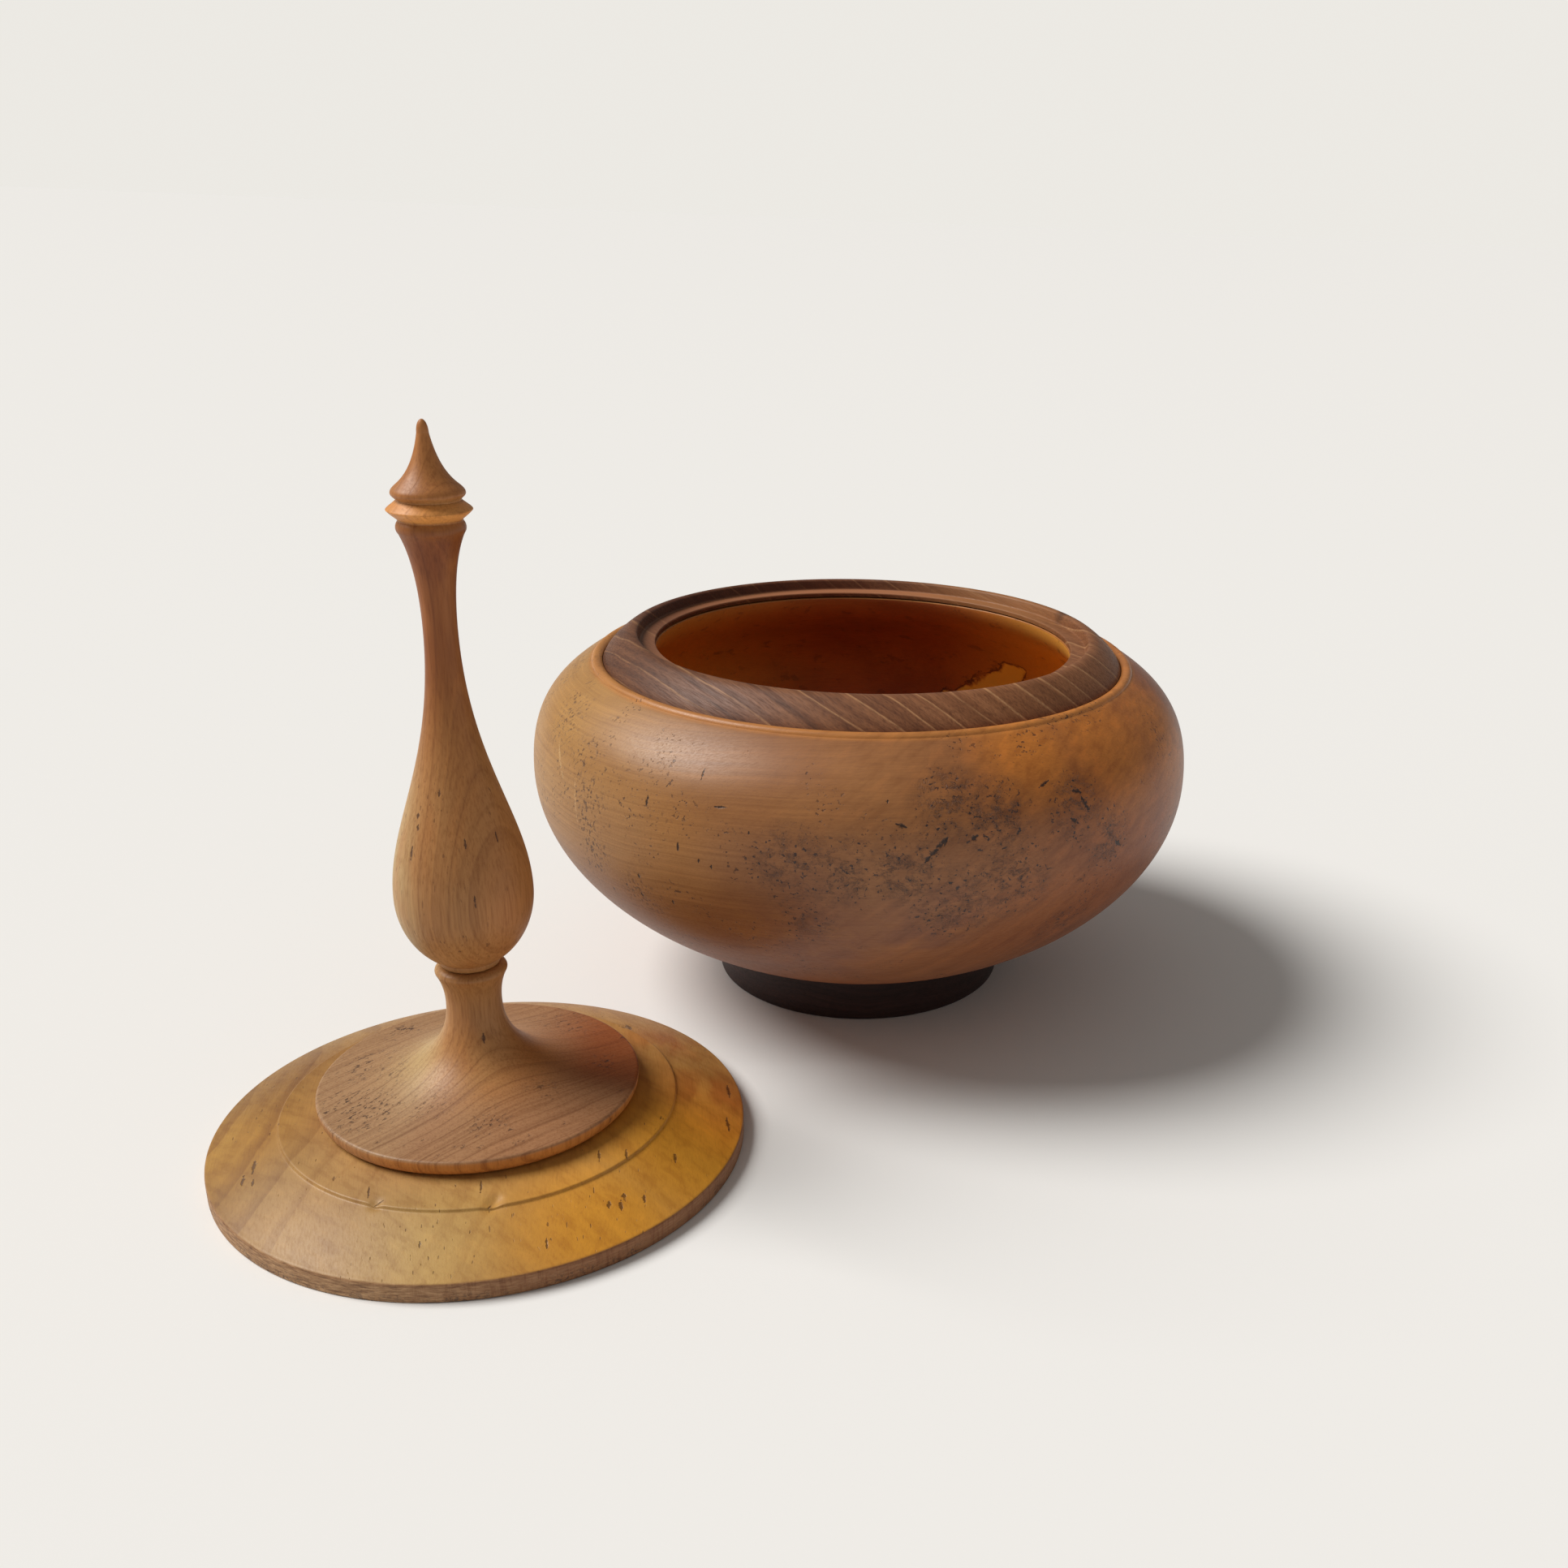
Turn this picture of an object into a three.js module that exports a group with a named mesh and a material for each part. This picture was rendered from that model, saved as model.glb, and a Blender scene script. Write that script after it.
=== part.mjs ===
// A turned wooden bowl with a rim ring and a foot, and its finial lid standing beside it.
// Millimetres, +Z up. The origin is the centre of the foot's underside.
// Every piece is turned: an outline of (radius, height) points, spun about the vertical axis.

import * as THREE from 'three';

// Clearance between touching pieces, and the bevel on sharp edges
const GAP = 0.3;
const BEVEL = 0.5;

// Bowl
const FOOT_RADIUS = 32.3;
const FOOT_TOP_RADIUS = 33.4;
const FOOT_TOP = 9.9;
const TENON_RADIUS = 22;
const TENON_TOP = 12.9;
const BELLY_RADIUS = 71.5;
const BELLY_HEIGHT = 50.5;
const WALL = 6;
const MOUTH_RADIUS = 44.9;
const INSIDE_FLOOR = 18;
const NECK_RADIUS = 50.5;

// Rim ring
const RING_RADIUS = 56;
const RING_EDGE = 73.2;
const RING_CREST_RADIUS = 50;
const RING_CREST = 78.9;
const RING_BOTTOM = 71.5;
const RECESS_RADIUS = 48.2;
const LEDGE = 76.5;
const LEDGE_THICKNESS = 1;

// Lid, with heights above the surface it stands on
const LID_X = -64.3;
const LID_Y = -84.3;
const LID_RADIUS = 47.8;
const LID_EDGE = 3.6;
const STEP_RADIUS = 35.3;
const STEP_FOOT = 8.4;
const STEP_TOP = 9;
const FLANGE_SEAT = 10.25;
const FLANGE_SEAT_RADIUS = 27.5;
const LID_SOCKET_RADIUS = 8.3;
const LID_SOCKET_FLOOR = 4.2;

// Finial base: a flange that sweeps up into a slim neck and a collar
const FLANGE_RADIUS = 28.5;
const FLANGE_TOP = 13.6;
const BASE_NECK_RADIUS = 4.85;
const BASE_NECK_HEIGHT = 29.5;
const COLLAR_RADIUS = 6.2;
const COLLAR_HEIGHT = 36;
const BASE_TOP = 36.9;
const BASE_TOP_RADIUS = 5.4;
const PEG_RADIUS = 2.7;
const PEG_SOCKET_FLOOR = 31.5;

// Finial spire: a teardrop, a slim neck, three rings and a point
const DROP_RADIUS = 11.75;
const DROP_HEIGHT = 50.5;
const DROP_DEPTH = 13.9;
const DROP_FOOT_RADIUS = 5.2;
const SPIRE_NECK_RADIUS = 2.74;
const SPIRE_NECK_HEIGHT = 97.5;
const RING_GROOVE_RADIUS = 5;
const SPIRE_RINGS = [
  { radius: 5.4, height: 113.8, halfWidth: 1.1 },
  { radius: 6.66, height: 116.7, halfWidth: 1.5 },
  { radius: 5.75, height: 119.3, halfWidth: 1.0 },
];
const POINT_RADIUS = 1.15;
const POINT_HEIGHT = 128.3;
const TIP_HEIGHT = 130.4;

const spaltedMaple = new THREE.MeshStandardMaterial({ color: 0xb27a3e, roughness: 0.42, metalness: 0 });
const walnut = new THREE.MeshStandardMaterial({ color: 0x6b5040, roughness: 0.4, metalness: 0 });
const darkWalnut = new THREE.MeshStandardMaterial({ color: 0x33241c, roughness: 0.4, metalness: 0 });
const goldenMaple = new THREE.MeshStandardMaterial({ color: 0xc8924a, roughness: 0.45, metalness: 0 });
const paleMaple = new THREE.MeshStandardMaterial({ color: 0xc9a06a, roughness: 0.45, metalness: 0 });

// Spins an outline about Z. The outline runs outwards, up, and back inwards. The middle points of its
// curves are handles, which it only leans towards.
function turned(name, outline, divisions, segments, material) {
  const geometry = new THREE.LatheGeometry(outline.getPoints(divisions), segments);
  geometry.rotateX(Math.PI / 2);
  const mesh = new THREE.Mesh(geometry, material);
  mesh.name = name;
  return mesh;
}

function makeBowlBody() {
  const innerBelly = BELLY_RADIUS - WALL;
  const seatRadius = RING_RADIUS + GAP;
  const outline = new THREE.Path();
  outline.moveTo(0, TENON_TOP + GAP);
  outline.lineTo(TENON_RADIUS + GAP, TENON_TOP + GAP);
  outline.lineTo(TENON_RADIUS + GAP, FOOT_TOP + GAP);
  outline.lineTo(FOOT_TOP_RADIUS, FOOT_TOP + GAP);
  outline.bezierCurveTo(52, 16.8, BELLY_RADIUS, 31.3, BELLY_RADIUS, BELLY_HEIGHT);
  outline.bezierCurveTo(BELLY_RADIUS, 62, 67.5, 67.5, 58.6, 73);
  outline.quadraticCurveTo(57.6, 73.8, seatRadius, RING_EDGE);
  outline.lineTo(seatRadius, RING_BOTTOM - GAP);
  outline.lineTo(NECK_RADIUS, RING_BOTTOM - GAP);
  outline.lineTo(NECK_RADIUS, LEDGE - LEDGE_THICKNESS - GAP);
  outline.lineTo(MOUTH_RADIUS, LEDGE - LEDGE_THICKNESS - GAP);
  outline.bezierCurveTo(MOUTH_RADIUS + 0.6, 66, innerBelly, 66, innerBelly, BELLY_HEIGHT);
  outline.bezierCurveTo(innerBelly, 30, 44, INSIDE_FLOOR, 0, INSIDE_FLOOR);
  return turned('bowl_body', outline, 7, 56, spaltedMaple);
}

function makeRimRing() {
  const inner = NECK_RADIUS + GAP;
  const outline = new THREE.Path();
  outline.moveTo(RING_RADIUS, RING_BOTTOM);
  outline.lineTo(RING_RADIUS, RING_EDGE);
  outline.bezierCurveTo(54.6, 76.2, 52.6, RING_CREST, RING_CREST_RADIUS, RING_CREST);
  outline.lineTo(RECESS_RADIUS + 0.4, RING_CREST - 0.4);
  outline.lineTo(RECESS_RADIUS, LEDGE);
  outline.lineTo(MOUTH_RADIUS, LEDGE);
  outline.lineTo(MOUTH_RADIUS, LEDGE - LEDGE_THICKNESS);
  outline.lineTo(inner, LEDGE - LEDGE_THICKNESS);
  outline.lineTo(inner, RING_BOTTOM);
  outline.lineTo(RING_RADIUS, RING_BOTTOM);
  return turned('rim_ring', outline, 6, 56, walnut);
}

function makeFoot() {
  const outline = new THREE.Path();
  outline.moveTo(0, 0);
  outline.lineTo(FOOT_RADIUS - BEVEL, 0);
  outline.lineTo(FOOT_RADIUS, BEVEL);
  outline.lineTo(FOOT_TOP_RADIUS, FOOT_TOP);
  outline.lineTo(TENON_RADIUS, FOOT_TOP);
  outline.lineTo(TENON_RADIUS, TENON_TOP);
  outline.lineTo(0, TENON_TOP);
  return turned('foot', outline, 1, 48, darkWalnut);
}

function makeLidDisc() {
  const outline = new THREE.Path();
  outline.moveTo(0, 0);
  outline.lineTo(LID_RADIUS - BEVEL, 0);
  outline.lineTo(LID_RADIUS, BEVEL);
  outline.lineTo(LID_RADIUS, LID_EDGE - BEVEL);
  outline.lineTo(LID_RADIUS - BEVEL, LID_EDGE);
  outline.quadraticCurveTo(41, 6.6, STEP_RADIUS, STEP_FOOT);
  outline.lineTo(STEP_RADIUS - 0.4, STEP_TOP);
  outline.lineTo(FLANGE_SEAT_RADIUS, FLANGE_SEAT);
  outline.lineTo(LID_SOCKET_RADIUS, FLANGE_SEAT);
  outline.lineTo(LID_SOCKET_RADIUS, LID_SOCKET_FLOOR);
  outline.lineTo(0, LID_SOCKET_FLOOR);
  return turned('lid_disc', outline, 4, 56, goldenMaple);
}

function makeFinialBase() {
  const tenon = LID_SOCKET_RADIUS - GAP;
  const underside = FLANGE_SEAT + GAP;
  const socket = PEG_RADIUS + GAP;
  const outline = new THREE.Path();
  outline.moveTo(0, LID_SOCKET_FLOOR + GAP);
  outline.lineTo(tenon, LID_SOCKET_FLOOR + GAP);
  outline.lineTo(tenon, underside);
  outline.lineTo(FLANGE_SEAT_RADIUS, underside);
  outline.lineTo(FLANGE_RADIUS, FLANGE_TOP - 0.8);
  outline.quadraticCurveTo(FLANGE_RADIUS, FLANGE_TOP, FLANGE_RADIUS - 0.9, FLANGE_TOP);
  outline.bezierCurveTo(16.5, 14.6, BASE_NECK_RADIUS, 17.5, BASE_NECK_RADIUS, BASE_NECK_HEIGHT);
  outline.quadraticCurveTo(BASE_NECK_RADIUS, 33, COLLAR_RADIUS, COLLAR_HEIGHT - 0.4);
  outline.quadraticCurveTo(COLLAR_RADIUS + 0.2, COLLAR_HEIGHT + 0.3, BASE_TOP_RADIUS, BASE_TOP);
  outline.lineTo(socket, BASE_TOP);
  outline.lineTo(socket, PEG_SOCKET_FLOOR);
  outline.lineTo(0, PEG_SOCKET_FLOOR);
  return turned('finial_base', outline, 6, 40, paleMaple);
}

function makeFinialSpire() {
  const underside = BASE_TOP + GAP;
  const footAngle = Math.acos(DROP_FOOT_RADIUS / DROP_RADIUS);
  const lastRing = SPIRE_RINGS[SPIRE_RINGS.length - 1];
  const coneFoot = lastRing.height + lastRing.halfWidth;
  const outline = new THREE.Path();
  outline.moveTo(0, PEG_SOCKET_FLOOR + GAP);
  outline.lineTo(PEG_RADIUS, PEG_SOCKET_FLOOR + GAP);
  outline.lineTo(PEG_RADIUS, underside);
  outline.lineTo(DROP_FOOT_RADIUS, underside);
  outline.absellipse(0, DROP_HEIGHT, DROP_RADIUS, DROP_DEPTH, -footAngle, 0, false);
  outline.bezierCurveTo(
    DROP_RADIUS, DROP_HEIGHT + 13.5, SPIRE_NECK_RADIUS, 74, SPIRE_NECK_RADIUS, SPIRE_NECK_HEIGHT,
  );
  outline.bezierCurveTo(SPIRE_NECK_RADIUS, 104, 3.5, 109.5, RING_GROOVE_RADIUS, 112.7);
  for (const ring of SPIRE_RINGS) {
    const bulge = 2 * ring.radius - RING_GROOVE_RADIUS;
    outline.quadraticCurveTo(bulge, ring.height, RING_GROOVE_RADIUS, ring.height + ring.halfWidth);
  }
  outline.bezierCurveTo(3, coneFoot + 2, 1.9, coneFoot + 4.2, POINT_RADIUS, POINT_HEIGHT);
  outline.absellipse(0, POINT_HEIGHT, POINT_RADIUS, TIP_HEIGHT - POINT_HEIGHT, 0, Math.PI / 2, false);
  return turned('finial_spire', outline, 6, 28, paleMaple);
}

const lid = new THREE.Group();
lid.add(makeLidDisc(), makeFinialBase(), makeFinialSpire());
lid.position.set(LID_X, LID_Y, 0);

const bowl = new THREE.Group();
bowl.add(makeBowlBody(), makeRimRing(), makeFoot());

const liddedBowl = new THREE.Group();
liddedBowl.add(bowl, lid);

export default liddedBowl;
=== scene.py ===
"""Looks of a turned wooden bowl and its finial lid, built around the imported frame.

Every piece is a fine turned surface in procedural wood. Outlines are in millimetres, the frame is in metres.
Angles are in degrees from +X towards +Y, round a piece's own axis.
"""

import math

import bpy
from mathutils import Matrix, Vector


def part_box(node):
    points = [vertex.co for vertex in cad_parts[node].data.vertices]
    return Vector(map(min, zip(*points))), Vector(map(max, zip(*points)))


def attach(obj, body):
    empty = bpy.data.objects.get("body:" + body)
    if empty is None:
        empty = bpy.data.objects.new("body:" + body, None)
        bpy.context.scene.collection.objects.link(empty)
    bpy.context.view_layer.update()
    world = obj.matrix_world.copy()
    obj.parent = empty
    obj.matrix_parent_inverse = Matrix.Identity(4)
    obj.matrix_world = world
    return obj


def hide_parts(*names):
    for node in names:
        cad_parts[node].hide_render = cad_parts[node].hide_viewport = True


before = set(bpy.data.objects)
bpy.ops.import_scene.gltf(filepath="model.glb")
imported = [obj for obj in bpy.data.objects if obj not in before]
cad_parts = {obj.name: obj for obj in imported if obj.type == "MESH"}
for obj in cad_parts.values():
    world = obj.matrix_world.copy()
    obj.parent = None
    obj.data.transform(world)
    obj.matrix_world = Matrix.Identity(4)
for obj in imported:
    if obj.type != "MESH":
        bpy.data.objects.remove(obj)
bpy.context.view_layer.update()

MM = 0.001

# Measures that the frame's boxes don't give, in millimetres
GAP = 0.3
FOOT_TOP = 9.9
TENON_RADIUS = 22
TENON_TOP = 12.9
BELLY_HEIGHT = 50.5
WALL = 6
INSIDE_FLOOR = 18
MOUTH_RADIUS = 44.9
NECK_RADIUS = 50.5
RING_BOTTOM = 71.5
RECESS_RADIUS = 48.2
LEDGE = 76.5
LEDGE_THICKNESS = 1
LID_EDGE = 3.7
STEP_TOP = 9.02
FLANGE_SEAT = 10.25
LID_SOCKET_RADIUS = 8.3
LID_SOCKET_FLOOR = 4.2
FLANGE_TOP = 13.6
BASE_NECK_RADIUS = 4.85
BASE_NECK_HEIGHT = 29.5
PEG_RADIUS = 2.7
PEG_SOCKET_FLOOR = 31.5
DROP_HEIGHT = 50.5
DROP_DEPTH = 13.9
SPIRE_NECK_RADIUS = 2.74
SPIRE_NECK_HEIGHT = 97.5
GROOVE_RADIUS = 5
POINT_RADIUS = 0.95
POINT_HEIGHT = 128.3


# ---- places, from the frame


def node_axis(node):
    """Where the vertical axis of a turned node stands."""
    low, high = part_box(node)
    return Vector(((low.x + high.x) / 2, (low.y + high.y) / 2, 0))


def node_radius(node):
    """Largest radius of a turned node, in millimetres."""
    low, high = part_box(node)
    return (high.x - low.x) / 2 / MM


def node_top(node):
    """Height of a node's top, in millimetres."""
    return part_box(node)[1].z / MM


BOWL_AXIS = node_axis("foot")
LID_AXIS = node_axis("lid_disc")
BELLY_RADIUS = node_radius("bowl_body")
RING_RADIUS = node_radius("rim_ring")
RING_CREST = node_top("rim_ring")
FOOT_TOP_RADIUS = node_radius("foot")
LID_RADIUS = node_radius("lid_disc")
FLANGE_RADIUS = node_radius("finial_base")
BASE_TOP = node_top("finial_base")
DROP_RADIUS = node_radius("finial_spire")
TIP_HEIGHT = node_top("finial_spire")


# ---- turned shapes


def spot(angle, radius, height):
    """A point at an angle, a radius and a height, from a piece's own axis."""
    turn = math.radians(angle)
    return Vector((radius * math.cos(turn), radius * math.sin(turn), height))


class Outline:
    """Half of a turned piece's section: points of (radius, height), outwards, up and back inwards."""

    def __init__(self, radius, height):
        self.points = [(radius, height)]

    def line(self, *points):
        self.points.extend(points)

    def curve(self, *controls, steps=24):
        """A Bezier curve from the last point. With one control point it is a straight line in steps."""
        rest = [self.points[-1], *controls]
        for step in range(1, steps + 1):
            share = step / steps
            points = rest
            while len(points) > 1:
                points = [
                    (a[0] + (b[0] - a[0]) * share, a[1] + (b[1] - a[1]) * share)
                    for a, b in zip(points, points[1:])
                ]
            self.points.append(points[0])

    def ellipse(self, centre_height, radius, depth, start, end, steps):
        """Part of an ellipse about the axis, between two angles above its middle."""
        for step in range(steps + 1):
            angle = math.radians(start + (end - start) * step / steps)
            self.points.append((radius * math.cos(angle), centre_height + depth * math.sin(angle)))

    def at(self, angle, height, inside=False):
        """A point on the turned surface: on its outermost wall at that height, or on its innermost one."""
        radii = []
        for (radius_a, height_a), (radius_b, height_b) in zip(self.points, self.points[1:]):
            if height_a != height_b and min(height_a, height_b) <= height <= max(height_a, height_b):
                share = (height - height_a) / (height_b - height_a)
                radii.append(radius_a + (radius_b - radius_a) * share)
        return spot(angle, min(radii) if inside else max(radii), height)


def turned(name, outline, axis, body, node, materials, segments=288):
    """Spins an outline about its axis, and puts the piece in the place of its CAD node."""
    on_axis = 1e-6
    sharp_angle = math.radians(38)
    vertices = []
    rings = []
    for radius, height in outline.points:
        first = len(vertices)
        if radius < on_axis:
            vertices.append((0, 0, height * MM))
            rings.append([first] * segments)
            continue
        for k in range(segments):
            angle = math.tau * k / segments
            vertices.append((radius * MM * math.cos(angle), radius * MM * math.sin(angle), height * MM))
        rings.append(list(range(first, first + segments)))
    faces = []
    for low, high in zip(rings, rings[1:]):
        for k in range(segments):
            after = (k + 1) % segments
            corners = list(dict.fromkeys([low[k], low[after], high[after], high[k]]))
            if len(corners) > 2:
                faces.append(corners)
    mesh = bpy.data.meshes.new(name)
    mesh.from_pydata(vertices, [], faces)
    mesh.update()
    mesh.shade_smooth()
    mesh.set_sharp_from_angle(angle=sharp_angle)
    piece = bpy.data.objects.new(name, mesh)
    piece.location = axis
    bpy.context.scene.collection.objects.link(piece)
    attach(piece, body)
    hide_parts(node)
    for material in materials:
        mesh.materials.append(material)
    return piece


def make_bowl():
    segments = 320
    mortise_radius = TENON_RADIUS + GAP
    mortise_top = TENON_TOP + GAP
    underside = FOOT_TOP + GAP
    outline = Outline(0, mortise_top)
    outline.line((mortise_radius, mortise_top), (mortise_radius, underside))
    outline.line((FOOT_TOP_RADIUS, underside), (FOOT_TOP_RADIUS + 0.5, underside + 0.1))
    outline.curve((52, 16.8), (BELLY_RADIUS, 31.3), (BELLY_RADIUS, BELLY_HEIGHT), steps=40)
    outline.curve((BELLY_RADIUS, 62), (67.5, 67.5), (59.2, 72.5), steps=36)

    # A soft bead under the ring, the ring's seat, and the neck that the ring's ledge lies on
    seat = RING_RADIUS + 0.12
    seat_floor = RING_BOTTOM - GAP
    lip = LEDGE - LEDGE_THICKNESS - GAP
    outline.curve((58.7, 72.75), (58.4, 72.9), steps=3)
    outline.curve((58.1, 73.9), (56.9, 74.1), (seat, 73.2), steps=12)
    outline.line((seat, seat_floor), (NECK_RADIUS, seat_floor), (NECK_RADIUS, lip), (MOUTH_RADIUS + 0.3, lip))
    outline.curve((MOUTH_RADIUS, lip), (MOUTH_RADIUS, lip - 0.3), steps=4)
    mouth = len(outline.points) - 1
    inner = BELLY_RADIUS - WALL
    outline.curve((45.5, 66), (inner, 66), (inner, BELLY_HEIGHT), steps=40)
    outline.curve((inner, 30), (44, INSIDE_FLOOR), (0, INSIDE_FLOOR), steps=36)
    woods = [bowl_outside(outline), bowl_inside(outline)]
    piece = turned("bowl", outline, BOWL_AXIS, "bowl", "bowl_body", woods, segments)
    for face in piece.data.polygons:
        if face.index // segments >= mouth:
            face.material_index = 1


def make_rim_ring():
    inner = NECK_RADIUS + GAP
    ledge_foot = LEDGE - LEDGE_THICKNESS
    outline = Outline(RING_RADIUS, RING_BOTTOM)
    outline.line((RING_RADIUS, 73.1))
    outline.curve((55.2, 74.9), (53.0, 77.0), (51.0, 78.3), steps=26)
    outline.curve((50.0, RING_CREST), (48.8, RING_CREST + 0.05), (48.6, 78.35), steps=12)
    outline.line((RECESS_RADIUS + 0.05, LEDGE + 0.4))
    outline.curve((RECESS_RADIUS, LEDGE), (RECESS_RADIUS - 0.4, LEDGE), steps=4)
    outline.line((MOUTH_RADIUS + 0.3, LEDGE))
    outline.curve((MOUTH_RADIUS, LEDGE), (MOUTH_RADIUS, LEDGE - 0.3), steps=4)
    outline.line((MOUTH_RADIUS, ledge_foot), (inner, ledge_foot))
    outline.line((inner, RING_BOTTOM), (RING_RADIUS, RING_BOTTOM))
    turned("ring", outline, BOWL_AXIS, "bowl", "rim_ring", [rim_walnut()], segments=320)


def make_foot():
    foot_radius = FOOT_TOP_RADIUS - 1.1
    bevel = 0.6
    outline = Outline(0, 0)
    outline.line((foot_radius - bevel, 0))
    outline.curve((foot_radius, 0), (foot_radius, bevel), steps=5)
    outline.line((FOOT_TOP_RADIUS - 0.1, FOOT_TOP - 0.5))
    outline.curve((FOOT_TOP_RADIUS, FOOT_TOP), (FOOT_TOP_RADIUS - 0.4, FOOT_TOP), steps=4)
    outline.line((TENON_RADIUS, FOOT_TOP), (TENON_RADIUS, TENON_TOP), (0, TENON_TOP))
    turned("pedestal", outline, BOWL_AXIS, "bowl", "foot", [foot_walnut()])


def chip(piece, angle, radius, width, depth):
    """Breaks a small splinter out of the edge of the lid's step."""
    below_step = 7.5
    centre = spot(angle, radius, 0) * MM
    round_axis = spot(angle + 90, 1, 0)
    for vertex in piece.data.vertices:
        offset = Vector((vertex.co.x, vertex.co.y, 0)) - centre
        if offset.length > 3 * width * MM or vertex.co.z < below_step * MM:
            continue
        along = offset.dot(round_axis) / (width * MM)
        inwards = offset.dot(centre.normalized()) / (0.8 * width * MM)
        vertex.co.z -= depth * MM * math.exp(-along * along - inwards * inwards)


def make_lid_disc():
    bevel = 0.5
    outline = Outline(0, 0)
    outline.line((LID_RADIUS - bevel, 0))
    outline.curve((LID_RADIUS, 0), (LID_RADIUS, bevel), steps=4)
    outline.line((LID_RADIUS, LID_EDGE - bevel))
    outline.curve((LID_RADIUS, LID_EDGE), (LID_RADIUS - 0.6, LID_EDGE + 0.15), steps=5)
    outline.curve((41, 6.7), (35.6, 8.35), steps=24)
    outline.curve((35.3, 8.4), (35.25, 8.7), steps=3)
    outline.curve((35.2, STEP_TOP - 0.02), (34.9, STEP_TOP), steps=4)
    outline.curve((27.3, FLANGE_SEAT), steps=12)
    outline.line((LID_SOCKET_RADIUS, FLANGE_SEAT))
    outline.line((LID_SOCKET_RADIUS, LID_SOCKET_FLOOR), (0, LID_SOCKET_FLOOR))
    piece = turned("lid", outline, LID_AXIS, "lid", "lid_disc", [lid_maple()], segments=512)
    chip(piece, angle=-103, radius=34.9, width=0.9, depth=0.5)
    chip(piece, angle=-71.5, radius=34.6, width=1.3, depth=0.6)
    chip(piece, angle=-70, radius=33.6, width=0.8, depth=0.3)


def make_finial_base():
    underside = FLANGE_SEAT + 0.15
    tenon_radius = LID_SOCKET_RADIUS - GAP
    tenon_foot = LID_SOCKET_FLOOR + GAP
    peg_socket = PEG_RADIUS + GAP
    dent = (-61, 25.2, 23.4, 0.4)
    outline = Outline(0, tenon_foot)
    outline.line((tenon_radius, tenon_foot), (tenon_radius, underside), (FLANGE_RADIUS - 1.5, underside))
    outline.curve(
        (FLANGE_RADIUS - 0.6, underside + 0.2),
        (FLANGE_RADIUS, FLANGE_TOP - 1.9),
        (FLANGE_RADIUS, FLANGE_TOP - 0.6),
    )
    outline.curve((FLANGE_RADIUS, FLANGE_TOP), (FLANGE_RADIUS - 0.7, FLANGE_TOP), steps=6)
    outline.curve((16.5, 14.6), (BASE_NECK_RADIUS, 17.5), (BASE_NECK_RADIUS, BASE_NECK_HEIGHT), steps=48)
    outline.curve((BASE_NECK_RADIUS, 33), (6.2, 35.5), steps=12)
    outline.curve((6.5, 36.3), (5.3, BASE_TOP), steps=8)
    outline.line((peg_socket, BASE_TOP), (peg_socket, PEG_SOCKET_FLOOR), (0, PEG_SOCKET_FLOOR))
    wood = finial_maple("base_wood", outline, lines_turn=-48, dents=[dent])
    turned("finial_foot", outline, LID_AXIS, "lid", "finial_base", [wood])


# Short upright dents of the spire: angle, lower and upper height, width
SPIRE_DENTS = [
    (-120.5, 66.8, 67.8, 0.42), (-117.9, 65.0, 65.8, 0.38), (-122.0, 60.0, 62.2, 0.36),
    (-66.3, 62.4, 64.0, 0.24), (-63.6, 52.4, 54.6, 0.24), (-32.4, 62.0, 64.0, 0.22),
    (-92.8, 70.8, 71.8, 0.32),
]


def make_finial_spire():
    peg_foot = PEG_SOCKET_FLOOR + GAP
    underside = BASE_TOP + 0.12
    outline = Outline(0, peg_foot)
    outline.line((PEG_RADIUS, peg_foot), (PEG_RADIUS, underside), (4.9, underside))
    outline.curve((5.15, BASE_TOP + 0.2), (5.3, BASE_TOP + 0.9), steps=5)

    # The drop and the slim neck
    outline.ellipse(DROP_HEIGHT, DROP_RADIUS, DROP_DEPTH, start=-63, end=0, steps=26)
    outline.curve(
        (DROP_RADIUS, DROP_HEIGHT + 13.5),
        (SPIRE_NECK_RADIUS, 74),
        (SPIRE_NECK_RADIUS, SPIRE_NECK_HEIGHT),
        steps=44,
    )
    outline.curve((SPIRE_NECK_RADIUS, 104), (3.5, 109.5), (GROOVE_RADIUS + 0.1, 112.9), steps=22)

    # Three rings with grooves between them, and the point
    outline.curve((5.6, 113.5), (5.5, 114.3), (GROOVE_RADIUS, 114.9), steps=10)
    outline.curve((GROOVE_RADIUS - 0.1, 115.2), (5.9, 115.7), (6.66, 116.6), steps=12)
    outline.curve((6.75, 116.8), (5.6, 117.5), (GROOVE_RADIUS, 118.1), steps=12)
    outline.curve((4.95, 118.4), (5.6, 118.6), (5.75, 119.1), steps=8)
    outline.curve((5.8, 119.6), (5.4, 120.0), (4.8, 120.5), steps=8)
    outline.curve((2.9, 122.1), (1.7, 124.5), (POINT_RADIUS, POINT_HEIGHT), steps=20)
    outline.ellipse(POINT_HEIGHT, POINT_RADIUS, TIP_HEIGHT - POINT_HEIGHT, start=0, end=90, steps=12)
    outline.points[-1] = (0, TIP_HEIGHT)
    wood = finial_maple("spire_wood", outline, lines_turn=-62, dents=SPIRE_DENTS)
    turned("finial_shaft", outline, LID_AXIS, "lid", "finial_spire", [wood], segments=192)


# ---- wood


def linear(red, green, blue):
    """A colour given as 0 to 255 on a screen, as the shader wants it."""

    def channel(value):
        value /= 255
        return value / 12.92 if value <= 0.04045 else ((value + 0.055) / 1.055) ** 2.4

    return (channel(red), channel(green), channel(blue), 1)


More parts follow.
